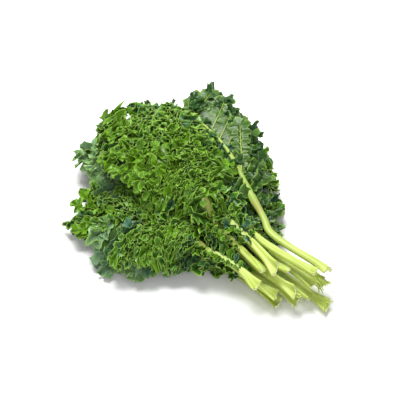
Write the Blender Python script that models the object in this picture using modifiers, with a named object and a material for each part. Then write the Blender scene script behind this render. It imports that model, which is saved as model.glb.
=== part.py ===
"""A bunch of curly kale lying on its side, as solids: one stem and one blade for every leaf.

Metres, +Z up. The cut ends of the stems point to +X, the leaves fan out towards -X, and the
bunch lies on the plane z = 0. The stems are gathered at the grip, where a hand would hold them.
From the grip each stem runs back to its cut end and forward to the base of its own blade.
The blades are laid down from the lowest to the highest, and each drapes over those below it.
"""

import math
from collections import namedtuple

import bmesh
import bpy
from mathutils import Matrix, Vector
from mathutils.bvhtree import BVHTree

MM = 0.001

GRIP = Vector((96.46, -1.01, 0.0)) * MM  # where the bunch is held; the bunch's box is centred on 0, 0

STEM_SPANS = 2  # of the leaf's route: from the cut end to the grip, and on to the blade's base
BLADE_SPANS = 2  # from the blade's base to its middle, and on to its tip

STEM_RADIUS = 6.2 * MM  # at the grip
NECK_SHARE = 0.72  # the stem's size where the blade starts, as a share of that at the grip
FLARE_SHARE = 1.38  # and at its cut end, where it was clasped round the stalk
FLARE_LENGTH = 22.0 * MM
STEM_STEPS = 14
STEM_SIDES = 10
STEM_HOLLOW = 0.20  # depth of the channel along the stem's upper side, as a share of its radius
HOLLOW_SHARPNESS = 3  # the higher, the narrower the channel

BLADE_THICKNESS = 8.0 * MM  # of the curly mass, not of the skin of the leaf
BLADE_ROWS = 13  # cells along the midrib
BLADE_COLUMNS = 6  # cells across
BLADE_NECK_SHARE = 0.13  # width at the blade's base as a share of its widest
BLADE_TIP_SHARE = 0.34  # and at its tip
BLADE_WIDEST = 0.60  # how far along the blade it is widest
BLADE_SWELL = 1.2  # above 1 the blade stays narrow for longer before it widens
EARLY_SWING = 1 / 3  # share of the blade's turn that is made by its middle

SLOPE_STEP = 0.01  # share of the blade over which the midrib's direction is taken
JOINT_GAP = 1.0 * MM  # between a stem's end and its blade
DRAPE_GAP = 4.0 * MM  # between a blade and whatever lies under it
DRAPE_REACH = 13.0 * MM  # a blade is also held up by what lies this far beside a point of it
DRAPE_SAMPLES = 12  # places beside the point, in a ring
SKY = Vector((0.0, 0.0, 1.0))  # higher than anything in the bunch

# lane, level: the stem's place in the grip, sideways and up, in mm
# cut, splay, cut_level: the cut end's distance from the grip, its sideways drift and its height
# bare, aim: length and heading of the stem from the grip to the blade, the heading in degrees
#            from -X towards +Y
# blade, swing: the blade's length, and how far its heading turns by its tip
# base, crest, tip: heights of the midrib at the blade's base, middle and tip
# near, far: the blade's width on the -Y and the +Y side of its midrib
# roll: the blade's tilt about its midrib, +Y side up
Leaf = namedtuple(
    "Leaf",
    "number lane level cut splay cut_level bare aim blade swing base crest tip near far roll",
)

# From the lowest to the highest, the order in which they are laid down
LEAVES = (
    Leaf("01", -26, 8, 64, 0, 10, 20, -10, 150, -22, 7, 4, 4, 30, 42, 0),
    Leaf("02", 15, 8, 115, 3, 9, 62, 8, 215, 10, 7, 4, 4, 48, 50, 0),
    Leaf("03", 2, 21, 92, 4, 18, 70, -6, 200, -8, 12, 4, 4, 48, 48, 0),
    Leaf("04", 31, 22, 90, 0, 26, 16, 30, 185, 2, 20, 5, 4, 44, 40, 0),
    Leaf("05", -14, 19, 84, 4, 21, 66, -16, 196, -10, 20, 16, 16, 50, 48, 0),
    Leaf("06", 20, 35, 88, -6, 34, 44, 28, 165, 10, 32, 24, 20, 44, 40, 0),
    Leaf("07", -31, 24, 62, 2, 27, 50, -21, 162, -14, 26, 24, 12, 36, 46, 0),
    Leaf("08", 3, 39, 54, 0, 46, 78, 12, 196, 12, 38, 36, 28, 50, 54, 0),
    Leaf("09", -12, 33, 80, 0, 36, 80, 2, 228, -1, 36, 44, 44, 50, 54, 0),
    Leaf("10", 13, 52, 86, 8, 54, 76, 8, 190, 14, 48, 56, 46, 50, 50, 0),
    Leaf("11", -38, 41, 40, -6, 42, 60, -8, 172, -34, 42, 50, 36, 54, 56, 0),
    Leaf("12", 34, 47, 92, 9, 44, 40, 21, 222, 0, 50, 66, 78, 20, 47, 4),
    Leaf("13", -3, 57, 48, -12, 60, 72, 8, 228, 6, 58, 72, 60, 54, 52, 0),
    Leaf("14", -17, 47, 30, -5, 48, 80, 6, 194, -2, 54, 98, 86, 54, 56, 0),
)


def clear_scene():
    for obj in list(bpy.data.objects):
        bpy.data.objects.remove(obj)


def new_collection(name):
    collection = bpy.data.collections.new(name)
    bpy.context.scene.collection.children.link(collection)
    return collection


def material(name, colour, roughness):
    made = bpy.data.materials.new(name)
    made.use_nodes = True
    shader = made.node_tree.nodes["Principled BSDF"]
    shader.inputs["Base Color"].default_value = (*colour, 1.0)
    shader.inputs["Roughness"].default_value = roughness
    shader.inputs["Metallic"].default_value = 0.0
    return made


def heading(degrees):
    """A level unit vector, from -X towards +Y."""
    angle = math.radians(degrees)
    return Vector((-math.cos(angle), math.sin(angle), 0.0))


def route(leaf):
    """Cut end, grip, blade's base, its middle and its tip: the points the midrib's line goes through."""
    grip = GRIP + Vector((0.0, leaf.lane, leaf.level)) * MM
    cut = GRIP + Vector((leaf.cut, leaf.lane + leaf.splay, leaf.cut_level)) * MM
    base = grip + heading(leaf.aim) * leaf.bare * MM
    base.z = leaf.base * MM
    half_blade = leaf.blade / 2 * MM
    middle = base + heading(leaf.aim + leaf.swing * EARLY_SWING) * half_blade
    middle.z = leaf.crest * MM
    tip = middle + heading(leaf.aim + leaf.swing) * half_blade
    tip.z = leaf.tip * MM
    return cut, grip, base, middle, tip


def spline_point(points, place):
    """A Catmull-Rom curve through the points, at place 0 on the first and len - 1 on the last."""
    last = len(points) - 1
    span = min(int(place), last - 1)
    t = place - span
    start, end = points[span], points[span + 1]
    before = points[span - 1] if span > 0 else start * 2 - end
    after = points[span + 2] if span + 2 <= last else end * 2 - start
    return (
        start * 2
        + (end - before) * t
        + (before * 2 - start * 5 + end * 4 - after) * t**2
        + (start * 3 - before - end * 3 + after) * t**3
    ) * 0.5


def stem_profile(collection):
    """The stem's cross-section: round below, with a shallow channel along its upper side."""
    curve = bpy.data.curves.new("stem_profile", "CURVE")
    curve.dimensions = "2D"
    line = curve.splines.new("POLY")
    line.points.add(STEM_SIDES - 1)
    line.use_cyclic_u = True
    for k, point in enumerate(line.points):
        angle = -2 * math.pi * (k + 0.5) / STEM_SIDES
        radius = 1 - STEM_HOLLOW * max(0.0, math.sin(angle)) ** HOLLOW_SHARPNESS
        point.co = (radius * math.cos(angle), radius * math.sin(angle), 0.0, 1.0)
    profile = bpy.data.objects.new("stem_profile", curve)
    profile.hide_render = True
    profile.display_type = "WIRE"
    collection.objects.link(profile)
    return profile


def stem_size(distance, length):
    """Radius of the stem at a distance from its cut end."""
    flare = (FLARE_SHARE - 1) * max(0.0, 1 - distance / FLARE_LENGTH) ** 2
    taper = 1 - (1 - NECK_SHARE) * distance / length
    return STEM_RADIUS * (taper + flare)


def make_stem(leaf, profile, skin, collection):
    points = route(leaf)
    line = [spline_point(points, STEM_SPANS * k / STEM_STEPS) for k in range(STEM_STEPS + 1)]
    line[-1] += (line[-2] - line[-1]).normalized() * JOINT_GAP
    curve = bpy.data.curves.new("stem_" + leaf.number, "CURVE")
    curve.dimensions = "3D"
    curve.twist_mode = "Z_UP"
    curve.bevel_mode = "OBJECT"
    curve.bevel_object = profile
    curve.use_fill_caps = True
    spline = curve.splines.new("POLY")
    spline.points.add(STEM_STEPS)
    distances = [0.0]
    for a, b in zip(line, line[1:]):
        distances.append(distances[-1] + (b - a).length)
    for point, place, distance in zip(spline.points, line, distances):
        point.co = (*place, 1.0)
        point.radius = stem_size(distance, distances[-1])
    stem = bpy.data.objects.new("stem_" + leaf.number, curve)
    stem.data.materials.append(skin)
    collection.objects.link(stem)
    return stem


def blade_share(along):
    """The blade's width at a place along it, as a share of its widest."""
    if along < BLADE_WIDEST:
        rise = math.sin(math.pi / 2 * along / BLADE_WIDEST) ** BLADE_SWELL
        return BLADE_NECK_SHARE + (1 - BLADE_NECK_SHARE) * rise
    fall = (along - BLADE_WIDEST) / (1 - BLADE_WIDEST)
    return BLADE_TIP_SHARE + (1 - BLADE_TIP_SHARE) * math.sqrt(1 - fall**2)


def highest_under(trees, place):
    """Height of the highest solid at a place and just beside it, or 0 for the surface the bunch lies on."""
    starts = [Vector((place.x, place.y, 0.0)) + SKY]
    for k in range(DRAPE_SAMPLES):
        angle = 2 * math.pi * k / DRAPE_SAMPLES
        ring = Vector((math.cos(angle), math.sin(angle), 0.0)) * DRAPE_REACH
        starts.append(starts[0] + ring)
    top = 0.0
    for start in starts:
        for tree in trees:
            hit = tree.ray_cast(start, -SKY)[0]
            if hit is not None:
                top = max(top, hit.z)
    return top


def midrib_point(points, along):
    """A point of the blade's midrib, along 0 to 1 from its base to its tip."""
    return spline_point(points, STEM_SPANS + BLADE_SPANS * along)


def blade_point(leaf, points, along, across):
    """A point of the blade's middle surface: along 0 to 1 from base to tip, across -1 to 1."""
    centre = midrib_point(points, along)
    ahead = midrib_point(points, min(1.0, along + SLOPE_STEP))
    behind = midrib_point(points, max(0.0, along - SLOPE_STEP))
    forward = (ahead - behind).normalized()
    side = forward.cross(SKY).normalized()
    side = Matrix.Rotation(-math.radians(leaf.roll), 3, forward) @ side
    width = (leaf.far if across > 0 else leaf.near) * MM
    return centre + side * across * width * blade_share(along)


def make_blade(leaf, laid, skin, collection):
    points = route(leaf)
    bm = bmesh.new()
    bmesh.ops.create_grid(bm, x_segments=BLADE_ROWS, y_segments=BLADE_COLUMNS, size=1.0)
    start = JOINT_GAP / (leaf.blade * MM)
    for vertex in bm.verts:
        along = start + (1 - start) * (vertex.co.x + 1) / 2
        place = blade_point(leaf, points, along, vertex.co.y)
        under = highest_under(laid, place)
        lift = BLADE_THICKNESS / 2 + (DRAPE_GAP if under else 0.0)
        place.z = max(place.z, under + lift)
        vertex.co = place
    bmesh.ops.recalc_face_normals(bm, faces=bm.faces)
    mesh = bpy.data.meshes.new("leaf_" + leaf.number)
    bm.to_mesh(mesh)
    bm.free()
    blade = bpy.data.objects.new("leaf_" + leaf.number, mesh)
    mesh.materials.append(skin)
    shell = blade.modifiers.new("thickness", "SOLIDIFY")
    shell.thickness = BLADE_THICKNESS
    shell.offset = 0.0
    collection.objects.link(blade)
    return blade


def tree_of(obj):
    """A search tree of the object's evaluated mesh, in world space."""
    graph = bpy.context.evaluated_depsgraph_get()
    mesh = bpy.data.meshes.new_from_object(obj.evaluated_get(graph))
    mesh.transform(obj.matrix_world)
    tree = BVHTree.FromPolygons([v.co for v in mesh.vertices], [p.vertices for p in mesh.polygons])
    bpy.data.meshes.remove(mesh)
    return tree


def main():
    clear_scene()
    bunch = new_collection("kale_bunch")
    helpers = new_collection("helpers")
    helpers.hide_render = True
    stalk = material("stem_flesh", (0.57, 0.68, 0.16), 0.45)
    curly = material("curly_blade", (0.08, 0.20, 0.035), 0.55)
    profile = stem_profile(helpers)
    laid = []
    for leaf in LEAVES:
        stem = make_stem(leaf, profile, stalk, bunch)
        blade = make_blade(leaf, laid, curly, bunch)
        bpy.context.view_layer.update()
        laid += [tree_of(stem), tree_of(blade)]


main()
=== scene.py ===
"""Looks for a bunch of curly kale lying on its side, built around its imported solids.

Every leaf is made flat first, in its own leaf coordinates in millimetres: u along the midrib from
the base of the blade (the stem is at negative u), v across, to the left when looking at the tip,
and h up. Its ruffles, veins and stem are grown there, and then the whole leaf is put in the
posture of its solids: along the same route, draped at the height of the blade's solid.
"""
import math
from collections import namedtuple

import bpy
import numpy as np
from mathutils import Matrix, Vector
from mathutils.bvhtree import BVHTree


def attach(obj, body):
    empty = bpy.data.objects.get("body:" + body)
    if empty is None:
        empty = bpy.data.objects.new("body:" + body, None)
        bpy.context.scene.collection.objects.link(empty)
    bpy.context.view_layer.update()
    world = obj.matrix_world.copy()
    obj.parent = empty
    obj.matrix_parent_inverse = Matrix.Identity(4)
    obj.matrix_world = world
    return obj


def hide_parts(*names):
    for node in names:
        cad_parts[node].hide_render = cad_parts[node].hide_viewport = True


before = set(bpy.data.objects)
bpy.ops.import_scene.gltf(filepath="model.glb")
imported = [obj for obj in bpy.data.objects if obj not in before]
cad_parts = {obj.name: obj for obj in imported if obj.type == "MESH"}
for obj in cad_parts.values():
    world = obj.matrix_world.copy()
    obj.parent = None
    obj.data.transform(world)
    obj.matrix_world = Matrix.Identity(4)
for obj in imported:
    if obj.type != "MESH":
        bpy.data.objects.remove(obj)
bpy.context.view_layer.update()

MM = 0.001
UP = np.array((0.0, 0.0, 1.0))
TURN = 2 * math.pi

# ---- the leaves, as in the solids

GRIP = np.array((96.46, -1.01, 0.0))
STEM_RADIUS = 6.2
BLADE_NECK_SHARE = 0.13
BLADE_TIP_SHARE = 0.34
BLADE_WIDEST = 0.60
BLADE_SWELL = 1.2
EARLY_SWING = 1 / 3

# The solids' own table: where the stem runs through the grip, its cut end, its bare stretch, the
# blade's length and headings, its heights and its two half widths, in mm and degrees.
Leaf = namedtuple(
    "Leaf",
    "number lane level cut splay cut_level bare aim blade swing base crest tip near far",
)
LEAVES = (
    Leaf("01", -26, 8, 64, 0, 10, 20, -10, 150, -22, 7, 4, 4, 30, 42),
    Leaf("02", 15, 8, 115, 3, 9, 62, 8, 215, 10, 7, 4, 4, 48, 50),
    Leaf("03", 2, 21, 92, 4, 18, 70, -6, 200, -8, 12, 4, 4, 48, 48),
    Leaf("04", 31, 22, 90, 0, 26, 16, 30, 185, 2, 20, 5, 4, 44, 40),
    Leaf("05", -14, 19, 84, 4, 21, 66, -16, 196, -10, 20, 16, 16, 50, 48),
    Leaf("06", 20, 35, 88, -6, 34, 44, 28, 165, 10, 32, 24, 20, 44, 40),
    Leaf("07", -31, 24, 62, 2, 27, 50, -21, 162, -14, 26, 24, 12, 36, 46),
    Leaf("08", 3, 39, 54, 0, 46, 78, 12, 196, 12, 38, 36, 28, 50, 54),
    Leaf("09", -12, 33, 80, 0, 36, 80, 2, 228, -1, 36, 44, 44, 50, 54),
    Leaf("10", 13, 52, 86, 8, 54, 76, 8, 190, 14, 48, 56, 46, 50, 50),
    Leaf("11", -38, 41, 40, -6, 42, 60, -8, 172, -34, 42, 50, 36, 54, 56),
    Leaf("12", 34, 47, 92, 9, 44, 40, 21, 222, 0, 50, 66, 78, 20, 47),
    Leaf("13", -3, 57, 48, -12, 60, 72, 8, 228, 6, 58, 72, 60, 54, 52),
    Leaf("14", -17, 47, 30, -5, 48, 80, 6, 194, -2, 54, 98, 86, 54, 56),
)

# How each leaf looks.
# lobes: side lobes on each side; scale: size of its ruffles; droop: how far its edges hang, in mm
# fresh: 0 bluish green to 1 yellow green; slant: how obliquely the stem was cut
# step: length of a ribbon's cells in mm; puff: how high its lobes rise, in mm
# end: share of the solid's length it reaches; calm: share of the blade's length, from the tip,
# that is flat with a ruffled rim; over: -1 lies underside up
# bend: how far the midrib's tip leans to the left, in mm
names = "lobes scale droop fresh slant step puff end calm over bend"
Look = namedtuple("Look", names, defaults=(0.0, 1, 0))
LOOKS = {
    "01": Look(9, 0.9, 2, 0.5, 0.2, 1.0, 2, 0.96),
    "02": Look(11, 1.0, 0, 0.4, 0.5, 1.6, 2, 0.96),
    "03": Look(11, 1.0, 0, 0.4, 0.3, 1.7, 2, 0.96),
    "04": Look(9, 1.1, 2, 0.4, 0.1, 0.95, 3, 0.92),
    "05": Look(13, 0.8, 4, 1.0, -0.4, 0.88, 3, 1.0),
    "06": Look(10, 1.1, 4, 0.4, 0.3, 1.1, 3, 0.92),
    "07": Look(10, 1.0, 10, 0.2, 0.6, 0.95, 2, 0.9, 0.45),
    "08": Look(11, 1.0, 5, 0.4, 0.3, 1.6, 2, 1.0),
    "09": Look(11, 1.1, 14, 0.4, 0.9, 0.82, 3, 0.97, 0.4),
    "10": Look(10, 1.15, 6, 0.0, 0.2, 0.86, 4, 1.0),
    "11": Look(12, 0.75, 22, 0.6, 0.4, 0.82, 4, 0.88),
    "12": Look(9, 1.0, 6, 0.3, -0.2, 0.8, 3, 0.99, 0.62, -1, 34),
    "13": Look(13, 0.9, 14, 0.6, 0.8, 0.84, 10, 1.01, bend=4),
    "14": Look(11, 1.05, 20, 0.9, 0.1, 0.8, 3, 1.0, bend=-4),
}


def heading(degrees):
    """A level unit vector, from -X towards +Y."""
    angle = math.radians(degrees)
    return np.array((-math.cos(angle), math.sin(angle), 0.0))


def route(leaf):
    """Cut end, grip, blade's base, its middle and its tip, as in the solids."""
    grip = GRIP + (0.0, leaf.lane, leaf.level)
    cut = GRIP + (leaf.cut, leaf.lane + leaf.splay, leaf.cut_level)
    base = grip + heading(leaf.aim) * leaf.bare
    base[2] = leaf.base
    middle = base + heading(leaf.aim + leaf.swing * EARLY_SWING) * leaf.blade / 2
    middle[2] = leaf.crest
    tip = middle + heading(leaf.aim + leaf.swing) * leaf.blade / 2
    tip[2] = leaf.tip
    return np.array((cut, grip, base, middle, tip))


def spline(points, places):
    """Points of a Catmull-Rom curve, at place 0 on the first point and len - 1 on the last."""
    padded = np.vstack((2 * points[0] - points[1], points, 2 * points[-1] - points[-2]))
    span = np.clip(places.astype(int), 0, len(points) - 2)
    t = (places - span)[:, None]
    before, start, end, after = (padded[span + k] for k in range(4))
    return 0.5 * (
        2 * start
        + (end - before) * t
        + (2 * before - 5 * start + 4 * end - after) * t**2
        + (3 * start - before - 3 * end + after) * t**3
    )


def half_width(along):
    """Half width of the blade at places along it, as a share of its widest."""
    along = np.clip(along, 0.0, 1.0)
    rise = np.sin(np.pi / 2 * np.minimum(along / BLADE_WIDEST, 1.0)) ** BLADE_SWELL
    fall = np.clip((along - BLADE_WIDEST) / (1 - BLADE_WIDEST), 0.0, 1.0)
    early = BLADE_NECK_SHARE + (1 - BLADE_NECK_SHARE) * rise
    late = BLADE_TIP_SHARE + (1 - BLADE_TIP_SHARE) * np.sqrt(1 - fall**2)
    return np.where(along < BLADE_WIDEST, early, late)


GRID = 4.0  # spacing of the posture's grid
SPARE = 40.0  # how far the grid goes on past both ends of the leaf
REACH = 84.0  # and to each side of the midrib
ROUTE_POINTS = 801
BASE_PLACE = 2.0  # the blade's base on the route
TIP_PLACE = 4.0
SOLID_SHARE = 0.93  # heights are read within this share of the half width
SOLID_MARGIN = 4.0  # and this far inside both of its ends
SMOOTHINGS = 4
DROOP_LENGTH = 40.0  # distance over which the edges begin to hang
NECK_START = -12.0  # where the stem's height begins to turn into the blade's
NECK_LENGTH = 30.0


class Posture:
    """Where the points of a flat leaf lie."""

    def __init__(self, leaf, droop):
        places = np.linspace(0.0, TIP_PLACE, ROUTE_POINTS)
        line = spline(route(leaf), places)
        run = np.append(0.0, np.cumsum(np.linalg.norm(np.diff(line, axis=0), axis=1)))
        self.leaf = leaf
        self.droop = droop
        self.stem = np.interp(BASE_PLACE, places, run)
        self.blade = run[-1] - self.stem
        ends = ((line[0], line[1]), (line[-1], line[-2]))
        first, last = (a + (a - b) / np.linalg.norm(a - b) * SPARE for a, b in ends)
        line = np.vstack((first, line, last))
        run = np.concatenate(((-SPARE,), run, (run[-1] + SPARE,))) - self.stem
        self.us = np.arange(run[0], run[-1], GRID)
        self.vs = np.arange(-REACH, REACH + 1, GRID)
        centre = np.stack([np.interp(self.us, run, line[:, k]) for k in range(3)], axis=1)
        forward = np.gradient(centre, axis=0)
        side = np.cross(UP, forward)
        side /= np.linalg.norm(side, axis=1)[:, None]
        sheet = centre[:, None] + side[:, None] * self.vs[None, :, None]
        sheet[:, :, 2] = self.heights(centre, side)
        self.sheet = sheet
        across = np.gradient(sheet, axis=1)
        ahead = np.gradient(sheet, axis=0)
        crown = np.cross(ahead, across)
        self.crown = crown / np.linalg.norm(crown, axis=2)[:, :, None]

    def width(self, u, v):
        """Half width of the blade beside a point of it."""
        widest = np.where(v > 0, self.leaf.near, self.leaf.far)
        return widest * half_width(u / self.blade)

    def heights(self, centre, side):
        """Height of the blade's middle over the whole grid, read from its solid."""
        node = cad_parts["leaf_" + self.leaf.number]
        tree = BVHTree.FromPolygons(
            [v.co for v in node.data.vertices], [p.vertices for p in node.data.polygons]
        )
        u, v = np.meshgrid(self.us, self.vs, indexing="ij")
        limit = SOLID_SHARE * self.width(u, v)
        inside = np.clip(v, -limit, limit)
        row = np.clip(u, SOLID_MARGIN, self.blade - SOLID_MARGIN)
        index = (row - self.us[0]) / GRID
        low = np.floor(index).astype(int)
        part = (index - low)[..., None]
        spots = centre[low] * (1 - part) + centre[low + 1] * part
        spots = spots + (side[low] * (1 - part) + side[low + 1] * part) * inside[..., None]
        z = np.empty(u.shape)
        for k in np.ndindex(u.shape):
            x, y = spots[k][0] * MM, spots[k][1] * MM
            top = tree.ray_cast(Vector((x, y, 1.0)), Vector((0, 0, -1)))[0]
            bottom = tree.ray_cast(Vector((x, y, -1.0)), Vector((0, 0, 1)))[0]
            z[k] = np.nan if top is None else (top.z + bottom.z) / 2 / MM
        z = np.where(np.isnan(z), centre[:, 2][:, None], z)
        for _ in range(SMOOTHINGS):
            wide = np.pad(z, 1, mode="edge")
            z = (wide[:-2, 1:-1] + wide[2:, 1:-1] + wide[1:-1, :-2] + wide[1:-1, 2:] + 2 * z) / 6
        share = v / self.width(u, v)
        z = z - self.droop * np.minimum(share**2, 2.0) * np.clip(u / DROOP_LENGTH, 0.0, 1.0)
        blend = np.clip((u - NECK_START) / NECK_LENGTH, 0.0, 1.0)
        blend = blend * blend * (3 - 2 * blend)
        return centre[:, 2][:, None] * (1 - blend) + z * blend

    def place(self, points):
        """Leaf coordinates to places in the bunch, both in millimetres."""
        i = np.clip((points[:, 0] - self.us[0]) / GRID, 0, len(self.us) - 1.001)
        j = np.clip((points[:, 1] - self.vs[0]) / GRID, 0, len(self.vs) - 1.001)
        i0, j0 = i.astype(int), j.astype(int)
        a, b = (i - i0)[:, None], (j - j0)[:, None]

        def at(field):
            near = field[i0, j0] * (1 - b) + field[i0, j0 + 1] * b
            far = field[i0 + 1, j0] * (1 - b) + field[i0 + 1, j0 + 1] * b
            return near * (1 - a) + far * a

        crown = at(self.crown)
        crown /= np.linalg.norm(crown, axis=1)[:, None]
        return at(self.sheet) + crown * points[:, 2:3]


# ---- meshes with attributes


def link(made):
    bpy.context.scene.collection.objects.link(made)
    return made


def mesh_object(name, points, faces, fields, edges=()):
    """A mesh in the scene, with numbers or vectors at its points."""
    mesh = bpy.data.meshes.new(name)
    mesh.from_pydata(points, edges, faces)
    for field, values in fields.items():
        kind = "FLOAT_VECTOR" if np.ndim(values) == 2 else "FLOAT"
        slot = "vector" if np.ndim(values) == 2 else "value"
        layer = mesh.attributes.new(field, kind, "POINT")
        layer.data.foreach_set(slot, np.asarray(values, np.float32).ravel())
    mesh.update()
    return link(bpy.data.objects.new(name, mesh))


def add(tree, kind, *inputs, out=0, **settings):
    """Adds a node with its settings, links or sets its inputs in order, and gives an output."""
    node = tree.nodes.new(kind)
    for name, value in settings.items():
        setattr(node, name, value)
    sockets = [s for s in node.inputs if s.enabled]
    for socket, value in zip(sockets, inputs):
        if value is None:
            continue
        if isinstance(value, bpy.types.NodeSocket):
            tree.links.new(value, socket)
        else:
            socket.default_value = value
    return [s for s in node.outputs if s.enabled][out]


MATH = "ShaderNodeMath"
VECTOR = "ShaderNodeVectorMath"
FIELD = "GeometryNodeInputNamedAttribute"
NOISE = "ShaderNodeTexNoise"
ATTRIBUTE = "ShaderNodeAttribute"
RANGE = "ShaderNodeMapRange"
MIX = "ShaderNodeMix"


def new_tree(name, numbers):
    """A Geometry Nodes tree with a geometry input, named number inputs and a material input."""
    tree = bpy.data.node_groups.new(name, "GeometryNodeTree")
    face = tree.interface
    face.new_socket("Geometry", in_out="INPUT", socket_type="NodeSocketGeometry")
    for label in numbers:
        face.new_socket(label, in_out="INPUT", socket_type="NodeSocketFloat")
    face.new_socket("Finish", in_out="INPUT", socket_type="NodeSocketMaterial")
    face.new_socket("Geometry", in_out="OUTPUT", socket_type="NodeSocketGeometry")
    start = tree.nodes.new("NodeGroupInput")
    return tree, {s.name: s for s in start.outputs if s.name}


def end_tree(tree, geometry, finish):
    painted = add(tree, "GeometryNodeSetMaterial", geometry, None, finish)
    last = tree.nodes.new("NodeGroupOutput")
    tree.links.new(painted, last.inputs[0])
    return tree


def grow(made, tree, finish, **numbers):
    """Runs a tree on an object and keeps the result as its plain mesh."""
    step = made.modifiers.new("grow", "NODES")
    step.node_group = tree
    for item in tree.interface.items_tree:
        if item.item_type == "SOCKET" and item.in_out == "INPUT":
            key = item.name.lower()
            if key in numbers:
                step[item.identifier] = float(numbers[key])
            elif key == "finish":
                step[item.identifier] = finish
    graph = bpy.context.evaluated_depsgraph_get()
    mesh = bpy.data.meshes.new_from_object(made.evaluated_get(graph))
    made.modifiers.remove(step)
    made.data = mesh
    return made


# ---- ruffles

# From the widest ruffles of a leaf's rim to the finest: length and height in mm, and the power by
# which a wave grows from root to rim.
WAVE_SIZES = {"fold": (16.0, 3.6, 1.2), "curl": (6.5, 2.1, 1.5), "crimp": (2.7, 0.75, 2.0)}
DRIFT_SCALE = 0.45  # waves drift out of step: bends of the drift for each wave
DRIFT = 1.1  # and how far, in waves
ELSEWHERE = 77.7  # keeps the noise of the heights off that of the drift
LEAST_HEIGHT = 0.25  # a wave's height varies from this share of its size
MORE_HEIGHT = 1.5  # to this much more
LEAN = -0.38  # how far a wave leans over, as a share of its height
TOOTH_LENGTH = 2.6
TOOTH_DEPTH = 3.2
TOOTH_MIDDLE = 0.45
TOOTH_EDGE = 9.0  # the power that keeps the teeth at the rim
GRAIN_SIZE = 0.25  # dents for each mm
GRAIN_HEIGHT = 1.6


def ruffle_sizes(size, seed):
    """The ruffles of a leaf, for the ruffle tree."""
    found = {"tooth_length": TOOTH_LENGTH * size, "tooth_depth": TOOTH_DEPTH * size, "seed": seed}
    found.update(grain_size=GRAIN_SIZE, grain_height=GRAIN_HEIGHT)
    for wave, (length, height, start) in WAVE_SIZES.items():
        found[wave + "_length"] = length * size
        found[wave + "_height"] = height * size
        found[wave + "_start"] = start
    return found


def ruffle_wave(tree, given, wave, ribbon, state):
    """Moves the ribbon by one wave, and turns its two directions with it."""
    run, reach, vigour = ribbon
    place, along, crown, stretch = state
    length = given[wave + "_length"]
    turns = add(tree, MATH, run, length, operation="DIVIDE")
    spot = add(tree, MATH, turns, DRIFT_SCALE, operation="MULTIPLY")
    drift = add(tree, NOISE, spot, 1.0, 1.0, 0.5, 2.0, 0.0, noise_dimensions="1D")
    other = add(tree, MATH, spot, ELSEWHERE, given["seed"], operation="MULTIPLY_ADD")
    other = add(tree, MATH, spot, other, operation="ADD")
    amount = add(tree, NOISE, other, 1.0, 0.0, 0.5, 2.0, 0.0, noise_dimensions="1D")
    amount = add(tree, MATH, amount, MORE_HEIGHT, LEAST_HEIGHT, operation="MULTIPLY_ADD")
    phase = add(tree, MATH, drift, DRIFT, turns, operation="MULTIPLY_ADD")
    phase = add(tree, MATH, phase, given["seed"], operation="ADD")
    phase = add(tree, MATH, phase, TURN, operation="MULTIPLY")
    size = add(tree, MATH, reach, given[wave + "_start"], operation="POWER")
    for factor in (given[wave + "_height"], vigour, amount):
        size = add(tree, MATH, size, factor, operation="MULTIPLY")
    twice = add(tree, MATH, phase, 2.0, operation="MULTIPLY")
    for way, angle, share in ((crown, phase, 1.0), (along, twice, LEAN)):
        move = add(tree, MATH, angle, operation="SINE")
        for factor in (size, share):
            move = add(tree, MATH, move, factor, operation="MULTIPLY")
        move = add(tree, VECTOR, way, move, operation="SCALE")
        place = add(tree, VECTOR, place, move, operation="ADD")
    slope = add(tree, MATH, phase, operation="COSINE")
    steps = (("MULTIPLY", size), ("DIVIDE", length), ("MULTIPLY", TURN), ("DIVIDE", stretch))
    for step, other in steps:
        slope = add(tree, MATH, slope, other, operation=step)
    ways = []
    for way, other, step in ((along, crown, "ADD"), (crown, along, "SUBTRACT")):
        move = add(tree, VECTOR, other, slope, operation="SCALE")
        way = add(tree, VECTOR, way, move, operation=step)
        ways.append(add(tree, VECTOR, way, operation="NORMALIZE"))
    longer = add(tree, MATH, slope, slope, 1.0, operation="MULTIPLY_ADD")
    longer = add(tree, MATH, longer, operation="SQRT")
    stretch = add(tree, MATH, stretch, longer, operation="MULTIPLY")
    return place, *ways, stretch


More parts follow.
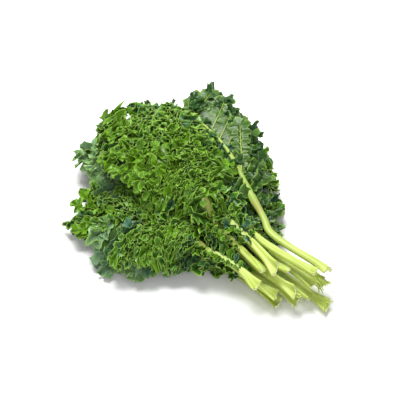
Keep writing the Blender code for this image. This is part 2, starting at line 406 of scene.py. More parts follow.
def ruffle_tree():
    """Ruffles on a ribbon, in three waves that each ride on the one before.

    A leaf's rim grows longer than the leaf can hold flat, so it buckles, and the rim of each
    buckle buckles again. run is the length along the ribbon, reach 0 at its root and 1 at the
    rim, stretch how much longer the waves so far have made it. Each wave also moves the leaf a
    little along the ribbon, so that its bends lean over like a gathered frill.
    """
    tree, given = new_tree("ruffles", ruffle_sizes(1.0, 0))
    ribbon = [add(tree, FIELD, k, data_type="FLOAT") for k in ("run", "reach", "vigour")]
    along, crown = (add(tree, FIELD, k, data_type="FLOAT_VECTOR") for k in ("along", "crown"))
    run, reach, _ = ribbon
    place = add(tree, "GeometryNodeInputPosition")
    stretch = add(tree, MATH, 1.0, 0.0, operation="ADD")
    state = (place, along, crown, stretch)
    for wave in WAVE_SIZES:
        state = ruffle_wave(tree, given, wave, ribbon, state)
    place, along, crown, _ = state
    outward = add(tree, VECTOR, along, crown, operation="CROSS_PRODUCT")
    tooth = add(tree, MATH, run, given["tooth_length"], operation="DIVIDE")
    tooth = add(tree, MATH, tooth, operation="FRACT")
    tooth = add(tree, MATH, tooth, -TOOTH_MIDDLE, operation="ADD")
    tooth = add(tree, MATH, tooth, operation="ABSOLUTE")
    edge = add(tree, MATH, reach, TOOTH_EDGE, operation="POWER")
    for factor in (edge, given["tooth_depth"]):
        tooth = add(tree, MATH, tooth, factor, operation="MULTIPLY")
    notch = add(tree, VECTOR, outward, tooth, operation="SCALE")
    place = add(tree, VECTOR, place, notch, operation="SUBTRACT")
    grain = add(tree, NOISE, place, given["grain_size"], 1.0, out=1)
    grain = add(tree, VECTOR, grain, (0.5, 0.5, 0.5), operation="SUBTRACT")
    strong = add(tree, MATH, reach, given["grain_height"], operation="MULTIPLY")
    grain = add(tree, VECTOR, grain, strong, operation="SCALE")
    place = add(tree, VECTOR, place, grain, operation="ADD")
    moved = add(tree, "GeometryNodeSetPosition", given["Geometry"], None, place)
    return end_tree(tree, moved, given["Finish"])


def sweep_tree():
    """A tube along every line of the mesh: girth is its radius at each point."""
    tree, given = new_tree("sweep", ["sides"])
    girth = add(tree, FIELD, "girth", data_type="FLOAT")
    line = add(tree, "GeometryNodeMeshToCurve", given["Geometry"])
    sides = add(tree, "FunctionNodeFloatToInt", given["sides"])
    ring = add(tree, "GeometryNodeCurvePrimitiveCircle", sides, mode="RADIUS")
    tube = add(tree, "GeometryNodeCurveToMesh", line, ring, girth, True)
    return end_tree(tree, tube, given["Finish"])


RIBBON_ROWS = 5
# How far out each row of a ribbon's points is: closer together towards the rim.
RIBBON_REACH = 1 - (1 - np.linspace(0.0, 1.0, RIBBON_ROWS + 1)) ** 1.5


def turned(vectors, angle):
    """Level vectors turned to the left by an angle."""
    x, y = vectors.T
    c, s = np.cos(angle), np.sin(angle)
    return np.stack((x * c - y * s, x * s + y * c), axis=1)


def vein_line(start, end, bow, step):
    """A side vein's points and directions: it leaves the midrib steeply and bows towards the tip."""
    start, end = np.array(start, float), np.array(end, float)
    middle = (start + end) / 2 + np.array((-bow, 0.0))
    rough = np.linalg.norm(end - start)
    t = np.linspace(0.0, 1.0, max(4, int(rough / step)))[:, None]
    points = start * (1 - t) ** 2 + middle * 2 * t * (1 - t) + end * t**2
    ahead = np.gradient(points, axis=0)
    ahead /= np.linalg.norm(ahead, axis=1)[:, None]
    return points, ahead


BAY_LENGTH = 12.5  # mm along the rim from one small bay to the next
BAY_DEPTH = 0.2  # as a share of the ribbon's width
LOBE_RISE = 1.3  # the power by which a lobe's height grows towards its end


def lobe_ribbon(vein, ahead, high, wide, lift, roll, step):
    """The walk round one lobe: out on the vein's right, round its tip and back on its left.

    wide, lift and high are pairs, for the vein's start and its end. Gives, for each step of the
    walk: the root point on the vein, the outward direction, the ribbon's width there and how
    steeply it stands up.
    """
    out = np.linspace(0.0, 1.0, len(vein))
    turns = max(5, int(math.pi * wide[1] * 0.6 / step))
    fan = np.linspace(-math.pi / 2, math.pi / 2, turns + 2)[1:-1]
    root = np.vstack((vein, np.repeat(vein[-1:], turns, axis=0), vein[::-1]))
    right = turned(ahead, -math.pi / 2)
    left = turned(ahead[::-1], math.pi / 2)
    round_tip = turned(np.repeat(ahead[-1:], turns, axis=0), fan)
    outward = np.vstack((right, round_tip, left))
    share = np.concatenate((out, np.ones(turns), out[::-1]))
    side = np.concatenate((-np.ones(len(vein)), fan / (math.pi / 2), np.ones(len(vein))))
    walked = step * np.arange(len(root))
    bays = 1 + BAY_DEPTH * np.sin(TURN * walked / BAY_LENGTH + vein[0, 0])
    width = (wide[0] + (wide[1] - wide[0]) * share**0.8) * bays
    stand = lift[0] + (lift[1] - lift[0]) * share**1.5 + roll * side
    height = high[0] + (high[1] - high[0]) * share**LOBE_RISE
    return np.column_stack((root, height)), outward, width, np.radians(stand)


ROLL_IN = 28.0  # degrees by which a ribbon curls up towards its rim
RIBBON_GAP = 9.0  # run left out between ribbons: their ruffles differ
FULL_WIDTH = 9.0  # width of a ribbon with ruffles of full height
MOST_VIGOUR = 1.3
CALMING = 0.62  # how much of its ruffles a calm ribbon loses


def ribbon_grid(root, outward, wide, lift, calm):
    """The points of a ribbon, in rows from its root to its rim, and its normals there."""
    angle = lift[:, None] + math.radians(ROLL_IN) * (1 - calm) * RIBBON_REACH[None, :]
    steps = np.diff(RIBBON_REACH, prepend=0.0)
    flat = np.cumsum(np.cos(angle) * steps, axis=1) * wide[:, None]
    high = np.cumsum(np.sin(angle) * steps, axis=1) * wide[:, None]
    grid = np.zeros((len(root), RIBBON_ROWS + 1, 3))
    grid[:, :, :2] = root[:, None, :2] + outward[:, None] * flat[:, :, None]
    grid[:, :, 2] = root[:, None, 2] + high
    outward = np.pad(outward, ((0, 0), (0, 1)))
    crown = -outward[:, None] * np.sin(angle)[..., None] + UP * np.cos(angle)[..., None]
    return grid, crown


def ribbon_mesh(parts, name, look):
    """All ribbons of a leaf as one mesh, ready for its ruffles."""
    points, faces = [], []
    fields = {k: [] for k in ("along", "crown", "run", "reach", "vigour", "shade", "calm", "fresh")}
    run = 0.0
    count = 0
    columns = RIBBON_ROWS + 1
    for root, outward, wide, lift, calm, shade in parts:
        n = len(root)
        grid, crown = ribbon_grid(root, outward, wide, lift, calm)
        middle = grid[:, RIBBON_ROWS // 2]
        runs = run + np.append(0.0, np.cumsum(np.linalg.norm(np.diff(middle, axis=0), axis=1)))
        run = runs[-1] + RIBBON_GAP
        vigour = np.minimum(wide / FULL_WIDTH, MOST_VIGOUR) * (1 - CALMING * calm)
        plain = {"run": runs[:, None], "reach": RIBBON_REACH[None, :], "vigour": vigour[:, None]}
        plain.update(shade=shade, calm=calm, fresh=look.fresh)
        for word, values in plain.items():
            fields[word].append((values * np.ones((n, columns))).ravel())
        along = np.pad(turned(outward, math.pi / 2), ((0, 0), (0, 1)))
        fields["along"].append(np.repeat(along[:, None], columns, axis=1).reshape(-1, 3))
        fields["crown"].append(crown.reshape(-1, 3))
        points.append(grid.reshape(-1, 3))
        i, j = np.meshgrid(np.arange(n - 1), np.arange(RIBBON_ROWS), indexing="ij")
        a = (count + i * columns + j).ravel()
        faces.append(np.stack((a, a + 1, a + columns + 1, a + columns), axis=1))
        count += n * columns
    joined = {k: np.concatenate(v) for k, v in fields.items()}
    return mesh_object(name, np.concatenate(points), np.concatenate(faces).tolist(), joined)


LOBE_STEP = 1.8  # cells of a side lobe's own ribbon, mostly hidden by small lobes
SMALL_SPACING = 10.5  # distance between the small lobes along a side lobe
SMALL_LENGTH = 9.5
SMALL_WIDTH = 10.0
FLAT_WIDTH = 14.0  # width of a small lobe's ribbon on the flat part of a blade
FIRST_SHARE = 0.06  # where along the blade its first side lobes end
OPEN_SHARE = 0.6  # where frills begin on side lobes of the leaf lying underside up
LOBE_SHARES = (0.86, 1.0)  # how far side lobes reach, in half widths of the blade
LOBE_INSET = 4.0  # and how much less, to leave room for their frills
VEIN_LEAN = 62.0  # degrees between the midrib and a side vein, at the base
VEIN_LEAN_LOSS = 26.0  # and how much less it is at the tip
VEIN_START = 4.0  # where the first side vein leaves the midrib
VEIN_SPACING = 2.5  # and the least distance to the next
VEIN_BOW = 0.08
ROOT_HIGH = 0.5  # height of a lobe's root above the sheet
TIP_LOBE = 34.0  # length of midrib with small lobes at the tip
BEND_START = 0.45  # share of the blade from which its midrib leans


def bend(look, posture, u):
    """How far the midrib leans to the left at places along it."""
    late = np.clip((u / posture.blade - BEND_START) / (1 - BEND_START), 0.0, 1.2)
    return look.bend * late**2


def curly_lobes(leaf, look, posture, rng):
    """Ribbons that walk round every lobe of every side lobe: a blade ruffled all over."""
    parts, veins = [], []
    length = posture.blade * look.end
    for side in (1, -1):
        widest = leaf.near if side > 0 else leaf.far
        for k in range(look.lobes):
            along = (k + 0.8 + rng.uniform(-0.3, 0.3)) / look.lobes
            along = FIRST_SHARE + (1 - FIRST_SHARE) * along
            calm = 1.0 if along > 1 - look.calm else 0.0
            open_side = calm and look.over < 0
            across = widest * half_width(np.array([along]))[0]
            across = across * rng.uniform(*LOBE_SHARES) - LOBE_INSET
            lean = math.radians(VEIN_LEAN - VEIN_LEAN_LOSS * along)
            start_u = max(VEIN_START + VEIN_SPACING * k, along * length - across / math.tan(lean))
            start = (start_u, bend(look, posture, start_u))
            end = (along * length, side * across)
            vein, ahead = vein_line(start, end, VEIN_BOW * across, LOBE_STEP)
            high = (ROOT_HIGH, look.over * (look.puff + rng.uniform(-7.0, 8.0)))
            wide = (6.0, 11.0 + 5.0 * calm)
            lift = (24.0, 6.0) if calm else (50.0 * look.over, rng.uniform(0.0, 40.0) * look.over)
            if open_side:
                high, lift = (ROOT_HIGH, -1.0), (6.0, 0.0)
            shade = rng.uniform(0.0, 1.0) if look.over > 0 else 0.8
            walk = lobe_ribbon(vein, ahead, high, wide, lift, 0.0, LOBE_STEP)
            parts.append((*walk, calm, shade))
            veins.append(vein)
            if open_side:
                veins += branches(vein, ahead, rng)
            first = OPEN_SHARE if open_side else 0.0
            parts += small_lobes(look, vein, ahead, high, first, calm, shade, rng)
    end = np.array((length - 6.0, bend(look, posture, length)))
    vein, ahead = vein_line(end - (TIP_LOBE, 0.0), end, 0.0, LOBE_STEP)
    parts += small_lobes(look, vein, ahead, (ROOT_HIGH, 4.0), 0.0, 0.0, 0.5, rng)
    return parts, veins


def small_lobes(look, vein, ahead, high, first, calm, shade, rng):
    """The small lobes of a side lobe, in turn on both sides and one at its end."""
    parts = []
    draw = rng.uniform
    long = LOBE_STEP * len(vein) * (1 - first)
    count = max(1, int(long / (SMALL_SPACING * look.scale)))
    for k in range(count + 1):
        share = first + (1 - first) * (k + draw(0.4, 1.0)) / (count + 1.0)
        last = k == count
        index = int(share * (len(vein) - 1))
        side = rng.choice((-1, 1)) if last else (1 if k % 2 else -1)
        angle = side * math.radians(draw(0.0, 25.0) if last else draw(30.0, 80.0))
        way = turned(ahead[index : index + 1], angle)[0]
        size = look.scale * draw(0.75, 1.25) * (0.8 + 0.3 * share)
        end = vein[index] + way * SMALL_LENGTH * size
        small, small_ahead = vein_line(vein[index], end, 0.5, look.step)
        base = high[0] + (high[1] - high[0]) * share**LOBE_RISE
        rise = look.over * draw(-3.0, 8.0) * (1 - 0.6 * calm)
        width = FLAT_WIDTH if calm and look.over > 0 else SMALL_WIDTH
        wide = (3.0 * size, width * size)
        lift = (look.over * draw(0.0, 42.0), look.over * draw(-22.0, 42.0))
        roll = draw(-40.0, 40.0)
        walk = lobe_ribbon(small, small_ahead, (base, base + rise), wide, lift, roll, look.step)
        if calm and look.over < 0:
            draw(size=2)  # used by nothing, but later shapes depend on the draws
        own = shade + draw(-0.25, 0.25) if look.over > 0 else draw(-0.8, 0.2)
        parts.append((*walk, 0.6 * calm * (look.over > 0), own))
    return parts


LEAFLET_START = 12.0  # leaflets still grow this far past the grip
LEAFLET_ROOM = 66.0  # and on this much of the stem at most


def leaflets(leaf, look, rng):
    """Small curly lobes along the stem, smaller the farther they are from the blade."""
    parts = []
    draw = rng.uniform
    room = min(leaf.bare + LEAFLET_START, LEAFLET_ROOM)
    for side in (1, -1):
        u = -draw(0.0, 6.0)
        while u > -room:
            share = 1 + 0.8 * u / (room + 10.0)
            long = draw(13.0, 23.0) * share
            lean = math.radians(draw(25.0, 70.0))
            start = np.array((u, side * 2.0))
            end = start + long * np.array((math.cos(lean), side * math.sin(lean)))
            vein, ahead = vein_line(start, end, 1.0, look.step)
            high = (2.0, 2.0 + draw(0.0, 8.0))
            lift = (draw(10.0, 65.0), draw(0.0, 40.0))
            wide = (3.0, 9.0 * share + 2.5)
            roll = draw(-30.0, 30.0)
            walk = lobe_ribbon(vein, ahead, high, wide, lift, roll, look.step)
            parts.append((*walk, 0.0, draw(0.0, 1.0)))
            u -= draw(7.0, 15.0)
    return parts


SIDE_LOBE = (0.31, 0.62, -30.0)  # where it leaves the midrib, and its end along and across
SIDE_LOBE_HIGH = (-3.0, -14.0)
BRANCH_EVERY = 6  # points of a vein for each of its branches
VEIN_RISE = 1.3  # how far veins and midrib stand out of the underside
MIDRIB_RISE = 3.5


def side_lobe(look, posture, parts, veins, rng):
    """Adds the long flat side lobe that lies on top of the leaf lying underside up."""
    leaves, ends, across = SIDE_LOBE
    low, high = SIDE_LOBE_HIGH
    start = (leaves * posture.blade, 0.0)
    vein, ahead = vein_line(start, (ends * posture.blade, across), 5.0, look.step)
    walk = lobe_ribbon(vein, ahead, SIDE_LOBE_HIGH, (7.0, 14.0), (-4.0, 4.0), 8.0, look.step)
    parts.append((*walk, 1.0, 0.6))
    for line in [vein] + branches(vein, ahead, rng):
        share = np.clip((line[:, 0] - start[0]) / (vein[-1, 0] - start[0]), 0, 1)
        rise = low + (high - low) * share**LOBE_RISE - VEIN_RISE
        veins.append(np.column_stack((line, rise)))


def branches(vein, ahead, rng):
    """Finer veins that leave a side vein in turn on both sides."""
    found = []
    count = max(2, len(vein) // BRANCH_EVERY)
    for k in range(count):
        share = (k + 1) / (count + 1.2)
        index = int(share * (len(vein) - 1))
        side = 1 if k % 2 else -1
        way = turned(ahead[index : index + 1], side * rng.uniform(0.6, 0.9))[0]
        long = (1 - 0.55 * share) * rng.uniform(9.0, 15.0)
        found.append(vein_line(vein[index], vein[index] + way * long, 0.0, 1.5)[0])
    return found


SHEET_SHARE = 0.78  # the flat part's half width as a share of the blade's
SHEET_ROWS = 64
SHEET_COLUMNS = 9  # on each side of the midrib
QUILT_HIGH = 2.4  # how far the leaf bulges between its veins
QUILT_WIDTH = 5.0  # distance from a vein over which it does
QUILT_LOW = 0.8  # how far under the midrib's middle it is beside a vein


def sheet_mesh(leaf, look, posture, veins, name):
    """The flat part of a blade under its frills, quilted up between its veins."""
    columns = 2 * SHEET_COLUMNS
    along = np.linspace(0.01, 0.96 * look.end, SHEET_ROWS)
    across = np.linspace(-1.0, 1.0, columns + 1)
    width = half_width(along) * SHEET_SHARE
    u = np.repeat(along[:, None] * posture.blade, len(across), axis=1)
    v = np.where(across > 0, leaf.near, leaf.far)[None, :] * across[None, :] * width[:, None]
    v = v + bend(look, posture, u) * (1 - across[None, :] ** 2)
    near_vein = np.full(u.shape, 99.0)
    for vein in veins:
        gap = np.linalg.norm(np.stack((u, v), axis=2)[:, :, None] - vein[None, None, :, :2], axis=3)
        near_vein = np.minimum(near_vein, gap.min(axis=2))
    h = QUILT_HIGH * (1 - np.exp(-near_vein / QUILT_WIDTH)) - QUILT_LOW
    points = np.stack((u, v, h), axis=2).reshape(-1, 3)
    i, j = np.meshgrid(np.arange(len(along) - 1), np.arange(columns), indexing="ij")
    a = (i * (columns + 1) + j).ravel()
    faces = np.stack((a, a + columns + 1, a + columns + 2, a + 1), axis=1)
    made = mesh_object(name, points, faces.tolist(), {})
    # painted shade: the sheet under the frills takes the nearly black colour of the folds' depths;
    # lying underside up, it takes a middle tone
    mark(made.data, reach=0.5 if look.over < 0 else 0.1, shade=0.5, fresh=look.fresh, calm=0.0)
    return made


def field(mesh, name):
    """An attribute of the mesh as an array."""
    layer = mesh.attributes[name]
    values = np.empty(len(layer.data), np.float32)
    layer.data.foreach_get("value", values)
    return values


def coordinates(mesh):
    points = np.empty(len(mesh.vertices) * 3, np.float32)
    mesh.vertices.foreach_get("co", points)
    return points.reshape(-1, 3).astype(float)


def set_coordinates(mesh, points):
    mesh.vertices.foreach_set("co", points.astype(np.float32).ravel())


def mark(mesh, **fields):
    """Gives every point of a mesh its numbers."""
    for name, values in fields.items():
        layer = mesh.attributes.new(name, "FLOAT", "POINT")
        layer.data.foreach_set("value", np.full(len(mesh.vertices), values, np.float32))


NECK_SHARE = 0.72  # the stem's radius at the blade's base, in usual radii
TIP_RADIUS = 0.7
MIDRIB_SHARE = 0.94  # how much of the blade the midrib runs through
# The rings of the cut face: place along the stem, share of its radius, and 1 for pith to 0 for skin.
CUT_PLACES = np.array((-0.5, -0.42, -0.3, -0.1, 0.5, 1.5))
CUT_SHARES = np.array((0.02, 0.35, 0.68, 0.93, 1.0, 1.0))
CUT_CORES = np.array((1.0, 0.65, 0.32, 0.07, 0.0, 0.0))
STEM_STEP = 3.0
STEM_SIDES = 26
KNOT_SPACING = 18.0  # over this a stem's thickness varies
KNOT_SHARE = 0.06  # and by how much
FLARE_LENGTH = 30.0
RIB_DEPTH = 0.035  # of nine low ribs along the stem, in radii


def stem_girth(posture, taper, u):
    """The radius of the stem, and of the midrib that it becomes inside the blade."""
    neck = NECK_SHARE * STEM_RADIUS
    below = STEM_RADIUS + (neck - STEM_RADIUS) * np.clip((u + posture.stem) / posture.stem, 0, 1)
    inside = (1 - np.clip(u / posture.blade, 0.0, 1.0)) ** taper
    return np.where(u < 0, below, TIP_RADIUS + (neck - TIP_RADIUS) * inside)


def petiole(leaf, look, posture, rng, tree, flesh):
    """The stem and the midrib in one piece, from the cut end to the tip."""
    cut = -posture.stem
    body = np.arange(cut + STEM_STEP, posture.blade * MIDRIB_SHARE, STEM_STEP)
    u = np.concatenate((cut + CUT_PLACES, body))
    full = stem_girth(posture, 2.0 if look.over > 0 else 1.1, u)
    knots = np.arange(cut - SPARE, posture.blade + SPARE, KNOT_SPACING)
    girth = full * (1 + KNOT_SHARE * np.interp(u, knots, rng.uniform(-1, 1, len(knots))))
    girth[: len(CUT_SHARES)] *= CUT_SHARES
    line = np.stack((u, 0 * u, 0 * u), axis=1)
    edges = [(k, k + 1) for k in range(len(u) - 1)]
    core = np.concatenate((CUT_CORES, np.zeros(len(body))))
    fields = {"girth": girth, "core": core, "full": full}
    made = mesh_object("petiole_" + leaf.number, line, [], fields, edges)
    grow(made, tree, flesh, sides=STEM_SIDES)
    shape_petiole(made.data, leaf, look, posture, rng)
    return made


def shape_petiole(mesh, leaf, look, posture, rng):
    """Gives a round straight stem its ribs, channel, flare, twist and ragged cut."""
    full = field(mesh, "full")
    u, y, z = coordinates(mesh).T
    distance = u + posture.stem
    flare = np.clip(1 - distance / FLARE_LENGTH, 0.0, 1.0) ** 1.7
    turn = np.arctan2(z, y)
    ribs = 1 + RIB_DEPTH * np.cos(9 * turn) * np.clip(distance / 10.0, 0.3, 1.0)
    y, z = y * ribs, z * ribs
    hollow = (0.42 + 0.75 * flare) * np.maximum(z, 0.0) * np.exp(-((y / (0.6 * full)) ** 2))
    v = y * (1.08 + 0.48 * flare)
    h = z * (0.86 - 0.12 * flare) - hollow + 0.5 * flare * np.abs(y) * np.abs(y) / full
    roll = math.radians(rng.uniform(-55.0, 55.0)) * np.clip(1 - distance / posture.stem, 0.0, 1.0)
    v, h = v * np.cos(roll) - h * np.sin(roll), v * np.sin(roll) + h * np.cos(roll)
    ragged = np.sin(3 * turn + leaf.lane) + 0.6 * np.sin(7 * turn) + 0.4 * np.sin(13 * turn + 1)
    end = np.exp(-distance / 9.0) * np.hypot(y, z) / full
    u = u - end * (look.slant * 7.0 * np.cos(turn) + 0.9 * ragged)
    v = v + bend(look, posture, u)
    h = h + MIDRIB_RISE * min(look.over, 0) * np.clip(u / 30.0, 0.0, 1.0)
    set_coordinates(mesh, np.stack((u, v, h), axis=1))
    mark(mesh, turn=turn, length=u)


TORN = {"04": (26, 15.0), "05": (12, 6.0), "10": (10, 5.0), "02": (8, 4.0)}  # count and length
FIBRE_POINTS = 7
TUBE_SIDES = 6  # of fibres and veins


def tubes(name, lines, girths, tree, flesh, length):
    """Thin tubes along lines of points."""
    edges = []
    count = 0
    for line in lines:
        edges += [(n, n + 1) for n in range(count, count + len(line) - 1)]
        count += len(line)
    fields = {"girth": np.concatenate(girths), "core": np.zeros(count)}
    made = mesh_object(name, np.concatenate(lines), [], fields, edges)
    grow(made, tree, flesh, sides=TUBE_SIDES)
    mark(made.data, turn=0.5, length=length)
    return made


def fibres(leaf, posture, rng, tree, flesh):
    """The torn strings at the end of a stem that was broken off and not cut."""
    count, long = TORN[leaf.number]
    lines, girths = [], []
    draw = rng.uniform
    for _ in range(count):
        turn = draw(0.0, TURN)
        out = STEM_RADIUS * draw(0.3, 1.0)
        spread = draw(0.5, 1.6)
        t = np.linspace(0.0, 1.0, FIBRE_POINTS)
        u = 5.0 - (5.0 + long * draw(0.4, 1.0)) * t - posture.stem
        wander = draw(-4.0, 4.0) * t**2
        v = out * (1 + spread * t**2) * math.cos(turn) * 1.2 + wander
        h = out * (1 + 0.7 * spread * t**2) * math.sin(turn) * 0.9 - 0.5 * wander
        lines.append(np.stack((u, v, h), axis=1))
        girths.append((1.3 - 1.0 * t**2) * draw(0.6, 1.1))
    return tubes("fibres_" + leaf.number, lines, girths, tree, flesh, STEM_PLACE)


STEM_PLACE = -100.0  # fibres have the tone that stems have this far from the blade
VEIN_PLACE = 40.0  # and veins the tone of the midrib this far inside it


def vein_tubes(leaf, veins, high, tree, flesh, girth):
    """The side veins: flat ones run at one height, the others bring their own."""
    lines, girths = [], []
    for vein in veins:
        n = len(vein)
        flat = vein.shape[1] == 2
        lines.append(np.column_stack((vein, np.full(n, high))) if flat else vein)
        thick = girth * min(1.0, n / 25.0) if flat else 1.4 * girth * min(1.0, n / 12.0)
        girths.append(np.linspace(thick, 0.35, n))
    return tubes("veins_" + leaf.number, lines, girths, tree, flesh, VEIN_PLACE)


LOWEST = 0.6  # how high the lowest leaf stays, give or take LOWEST_SPREAD
LOWEST_SPREAD = 0.25
SOFT_HEIGHT = 4.0  # what would be lower than this is pressed together


def settle(made, posture, over=1.0):
    """Puts a flat piece in its leaf's posture and keeps it above the surface the bunch lies on."""
    mesh = made.data
    points = coordinates(mesh)
    points[:, 2] *= over
    placed = posture.place(points)
    z = placed[:, 2]
    low = LOWEST + LOWEST_SPREAD * np.sin(points[:, 0]) * np.cos(points[:, 1])
    room = SOFT_HEIGHT - low
    soft = low + room * np.exp(np.minimum(z - SOFT_HEIGHT, 0.0) / room)
    placed[:, 2] = np.where(z < SOFT_HEIGHT, soft, z)
    set_coordinates(mesh, placed * MM)
    if over < 0:
        mesh.flip_normals()
    mesh.shade_smooth()
    mesh.update()


# ---- finishes


def linear(code):
    """An sRGB hex colour as linear red, green, blue and alpha."""
    parts = [int(code[k : k + 2], 16) / 255 for k in (0, 2, 4)]
    return [c / 12.92 if c <= 0.04045 else ((c + 0.055) / 1.055) ** 2.4 for c in parts] + [1.0]


def finish(name):
    made = bpy.data.materials.new(name)
    made.use_nodes = True
    tree = made.node_tree
    shader = tree.nodes["Principled BSDF"]
    return made, tree, shader


def bands(tree, value, *stops):
    """A colour that goes from stop to stop as the value grows."""
    colour = linear(stops[0][1])
    for (start, _), (end, code) in zip(stops, stops[1:]):
        share = add(tree, RANGE, value, start, end, 0.0, 1.0)
        colour = add(tree, MIX, share, colour, linear(code), data_type="RGBA")
    return colour


PATCH_SCALE = 30.0  # waves per metre: patches of tone about 30 mm across
# The wax crystals of the bloom are far under a tenth of a millimetre: drawn coarser, about 1 mm.
BLOOM_SCALE = 900.0
BLOOM_RELIEF = 0.0004
LEAF_ROUGHNESS = 0.34  # a waxy cuticle: satin, with soft bluish glints on the flats
LEAF_SPECULAR = 0.3
STEM_ROUGHNESS = 0.42  # moist smooth skin: a broad soft sheen along the top of every stem
STEM_SPECULAR = 0.35
GRAIN_RELIEF = 0.0006


# A side of the leaf: deep in its folds and inside them, both darkened there as painted shade,
# further out, and at the rim, lightened there as painted light on its thin lit tips; its bluish
# and yellowish drifts, its bloom, and how much of that shows on a flat lobe.
Skin = namedtuple("Skin", "deep inner body rim cool warm waxy wax")
UPPER = Skin("0A2006", "1E4A1A", "386C1C", "8EB04A", "4A7860", "628E12", "7E9E74", 0.62)
UNDER = Skin("16300A", "2C4C14", "355618", "789A42", "1E460E", "4A6A18", "5A7C3C", 0.25)


def blade_finish(name, skin):
    """Living kale leaf under a waxy bloom.

    Satin; darkened to nearly black green deep in its folds as painted shade, and yellow green at
    its frilled rim, lightened there as painted light on its thin lit tips; its tone drifts from lobe
    to lobe between bluish and yellowish, and flat lobes show the grey bloom.
    """
    made, tree, shader = finish(name)
    where = add(tree, "ShaderNodeTexCoord", out=3)
    names = ("reach", "fresh", "shade", "calm")
    reach, fresh, shade, calm = (add(tree, ATTRIBUTE, attribute_name=k, out=2) for k in names)
    # painted shade and light: nearly black at a ribbon's root, deep in the folds, to light yellow
    # green at its lit rim
    stops = ((0.0, skin.deep), (0.42, skin.inner), (0.75, skin.body), (1.0, skin.rim))
    colour = bands(tree, reach, *stops)
    tone = add(tree, NOISE, where, PATCH_SCALE, 3.0)
    tone = add(tree, MATH, tone, fresh, operation="ADD")
    tone = add(tree, MATH, tone, shade, operation="ADD")
    light = add(tree, RANGE, tone, 0.7, 2.1, 0.64, 1.36)
    colour = add(tree, VECTOR, colour, light, operation="SCALE")
    cold = add(tree, RANGE, tone, 0.8, 1.4, 0.7, 0.0)
    hot = add(tree, RANGE, tone, 1.4, 2.2, 0.0, 0.85)
    bloom = add(tree, RANGE, calm, 0.0, 1.0, 0.0, skin.wax)
    for share, code in ((cold, skin.cool), (hot, skin.warm), (bloom, skin.waxy)):
        colour = add(tree, MIX, share, colour, linear(code), data_type="RGBA")
    tree.links.new(colour, shader.inputs["Base Color"])
    fine = add(tree, NOISE, where, BLOOM_SCALE, 2.0)
    relief = add(tree, "ShaderNodeBump", 0.3, BLOOM_RELIEF, 1.0, fine)
    tree.links.new(relief, shader.inputs["Normal"])
    shader.inputs["Roughness"].default_value = LEAF_ROUGHNESS
    shader.inputs["Specular IOR Level"].default_value = LEAF_SPECULAR
    return made


def stem_finish():
    """Petiole flesh: pale lime skin with darker strings along it, browned at the cut's edge.

    Towards the blade it turns greener, with a faint brownish blush where the blade begins; the
    cut face is paler pith.
    """
    made, tree, shader = finish("petiole_flesh")
    names = ("core", "turn", "length")
    core, turn, length = (add(tree, ATTRIBUTE, attribute_name=k, out=2) for k in names)
    grain_across = add(tree, MATH, turn, 5.0, operation="MULTIPLY")
    grain_along = add(tree, MATH, length, 0.02, operation="MULTIPLY")
    spot = add(tree, "ShaderNodeCombineXYZ", grain_across, grain_along, 0.0)
    grain = add(tree, NOISE, spot, 1.6, 4.0)
    colour = bands(tree, grain, (0.25, "8EA436"), (0.5, "B0C258"), (0.75, "C6D27E"))
    toward = add(tree, RANGE, length, -80.0, 40.0, 0.0, 0.85)
    near_base = add(tree, MATH, length, -10.0, operation="ADD")
    near_base = add(tree, MATH, near_base, operation="ABSOLUTE")
    blush = add(tree, RANGE, near_base, 4.0, 16.0, 0.5, 0.0)
    blush = add(tree, MATH, blush, grain, operation="MULTIPLY")
    face = bands(tree, core, (0.05, "A58B4E"), (0.16, "D6DE9A"), (1.0, "E2EBB4"))
    cut = add(tree, MATH, core, 0.03, operation="GREATER_THAN")
    for share, other in ((toward, linear("86A044")), (blush, linear("A87858")), (cut, face)):
        colour = add(tree, MIX, share, colour, other, data_type="RGBA")
    tree.links.new(colour, shader.inputs["Base Color"])
    rough = add(tree, "ShaderNodeBump", 0.25, GRAIN_RELIEF, 1.0, grain)
    tree.links.new(rough, shader.inputs["Normal"])
    shader.inputs["Roughness"].default_value = STEM_ROUGHNESS
    shader.inputs["Specular IOR Level"].default_value = STEM_SPECULAR
    return made


LEAF_THICKNESS = 0.6


def thicken(made):
    """Gives a leaf's skin its thickness, with the underside's finish below."""
    skin = made.modifiers.new("thickness", "SOLIDIFY")
    skin.thickness = LEAF_THICKNESS * MM
    skin.offset = 0.0
    skin.material_offset = 1


def declare(made, node):
    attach(made, "root")
    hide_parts(node)


def grow_leaf(leaf, trees, finishes):
    """All pieces of one leaf, in its posture."""
    look = LOOKS[leaf.number]
    ruffles, sweep = trees
    upper, under, flesh = finishes
    rng = np.random.RandomState(int(leaf.number) * 17 + 5)
    posture = Posture(leaf, look.droop)
    parts, veins = curly_lobes(leaf, look, posture, rng)
    if look.over < 0:
        side_lobe(look, posture, parts, veins, rng)
    parts += leaflets(leaf, look, rng)
    blade = ribbon_mesh(parts, "blade_" + leaf.number, look)
    grow(blade, ruffles, upper, **ruffle_sizes(look.scale, int(leaf.number)))
    sheet = sheet_mesh(leaf, look, posture, veins, "sheet_" + leaf.number)
    sheet.data.materials.append(upper)
    for piece in (blade, sheet):
        settle(piece, posture, look.over)
        piece.data.materials.append(under)
        thicken(piece)
        declare(piece, "leaf_" + leaf.number)
    stem = petiole(leaf, look, posture, rng, sweep, flesh)
    high, girth = (-0.4, 0.9) if look.over > 0 else (-VEIN_RISE, 1.2)
    tubes = vein_tubes(leaf, veins, high, sweep, flesh, girth)
    for piece in (stem, tubes):
        settle(piece, posture, look.over)
    if leaf.number in TORN:
        strings = fibres(leaf, posture, rng, sweep, flesh)
        settle(strings, posture, look.over)
        declare(strings, "stem_" + leaf.number)
    declare(stem, "stem_" + leaf.number)
    declare(tubes, "leaf_" + leaf.number)


def main():
    upper = blade_finish("kale_blade_upper", UPPER)
    under = blade_finish("kale_blade_under", UNDER)
    finishes = (upper, under, stem_finish())
    trees = (ruffle_tree(), sweep_tree())
    for leaf in LEAVES:
        grow_leaf(leaf, trees, finishes)
    setting()


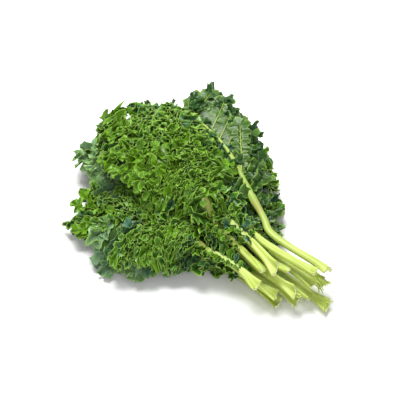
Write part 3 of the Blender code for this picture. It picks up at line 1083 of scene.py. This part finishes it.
AZIMUTH = 44.0
ELEVATION = 50.0
LENS = 200.0
SENSOR = 36.0
VIEW_WIDTH = 0.56  # metres across the picture at the aim
AIM_UP = 46.6
AIM_LEFT = 9.8
LIGHT_DISTANCE = 1.6
# name, direction, energy in watts and size in metres
LIGHTS = (("key", (-0.5, 0.25, 1.2), 41.0, 0.9), ("fill", (1.0, -0.8, 0.9), 10.0, 1.5))
WORLD_LIGHT = 0.36
FLOOR_HALF = 2.0


def look_at(made, place, back):
    """Puts a camera or light at a place, looking against the direction back."""
    made.location = place
    made.rotation_euler = back.to_track_quat("Z", "Y").to_euler()


def setting():
    """A pale floor, one soft key light from behind on the left, a weak fill, and the camera."""
    f = FLOOR_HALF
    ground = bpy.data.meshes.new("ground")
    ground.from_pydata([(-f, -f, 0), (f, -f, 0), (f, f, 0), (-f, f, 0)], [], [(0, 1, 2, 3)])
    # Matt white card: no sheen, only the soft shadow of the bunch.
    made, _, shader = finish("matt_white_card")
    shader.inputs["Base Color"].default_value = linear("FAFAFA")
    shader.inputs["Roughness"].default_value = 0.9
    ground.materials.append(made)
    link(bpy.data.objects.new("ground", ground))
    scene = bpy.context.scene
    world = bpy.data.worlds.new("studio")
    world.use_nodes = True
    sky = world.node_tree.nodes["Background"]
    sky.inputs["Color"].default_value = (1, 1, 1, 1)
    sky.inputs["Strength"].default_value = WORLD_LIGHT
    scene.world = world
    azimuth, elevation = math.radians(AZIMUTH), math.radians(ELEVATION)
    level = Vector((math.sin(azimuth), -math.cos(azimuth), 0.0))
    back = level * math.cos(elevation) + Vector(UP) * math.sin(elevation)
    right = Vector((math.cos(azimuth), math.sin(azimuth), 0.0))
    aim = (back.cross(right) * AIM_UP - right * AIM_LEFT) * MM
    camera = link(bpy.data.objects.new("camera", bpy.data.cameras.new("camera")))
    camera.data.lens = LENS
    camera.data.sensor_width = SENSOR
    camera.data.clip_end = 20.0
    look_at(camera, aim + back * VIEW_WIDTH * LENS / SENSOR, back)
    scene.camera = camera
    for name, direction, energy, size in LIGHTS:
        light = link(bpy.data.objects.new(name, bpy.data.lights.new(name, "AREA")))
        light.data.energy = energy
        light.data.size = size
        way = Vector(direction).normalized()
        look_at(light, way * LIGHT_DISTANCE, way)
    scene.view_settings.view_transform = "Standard"


main()
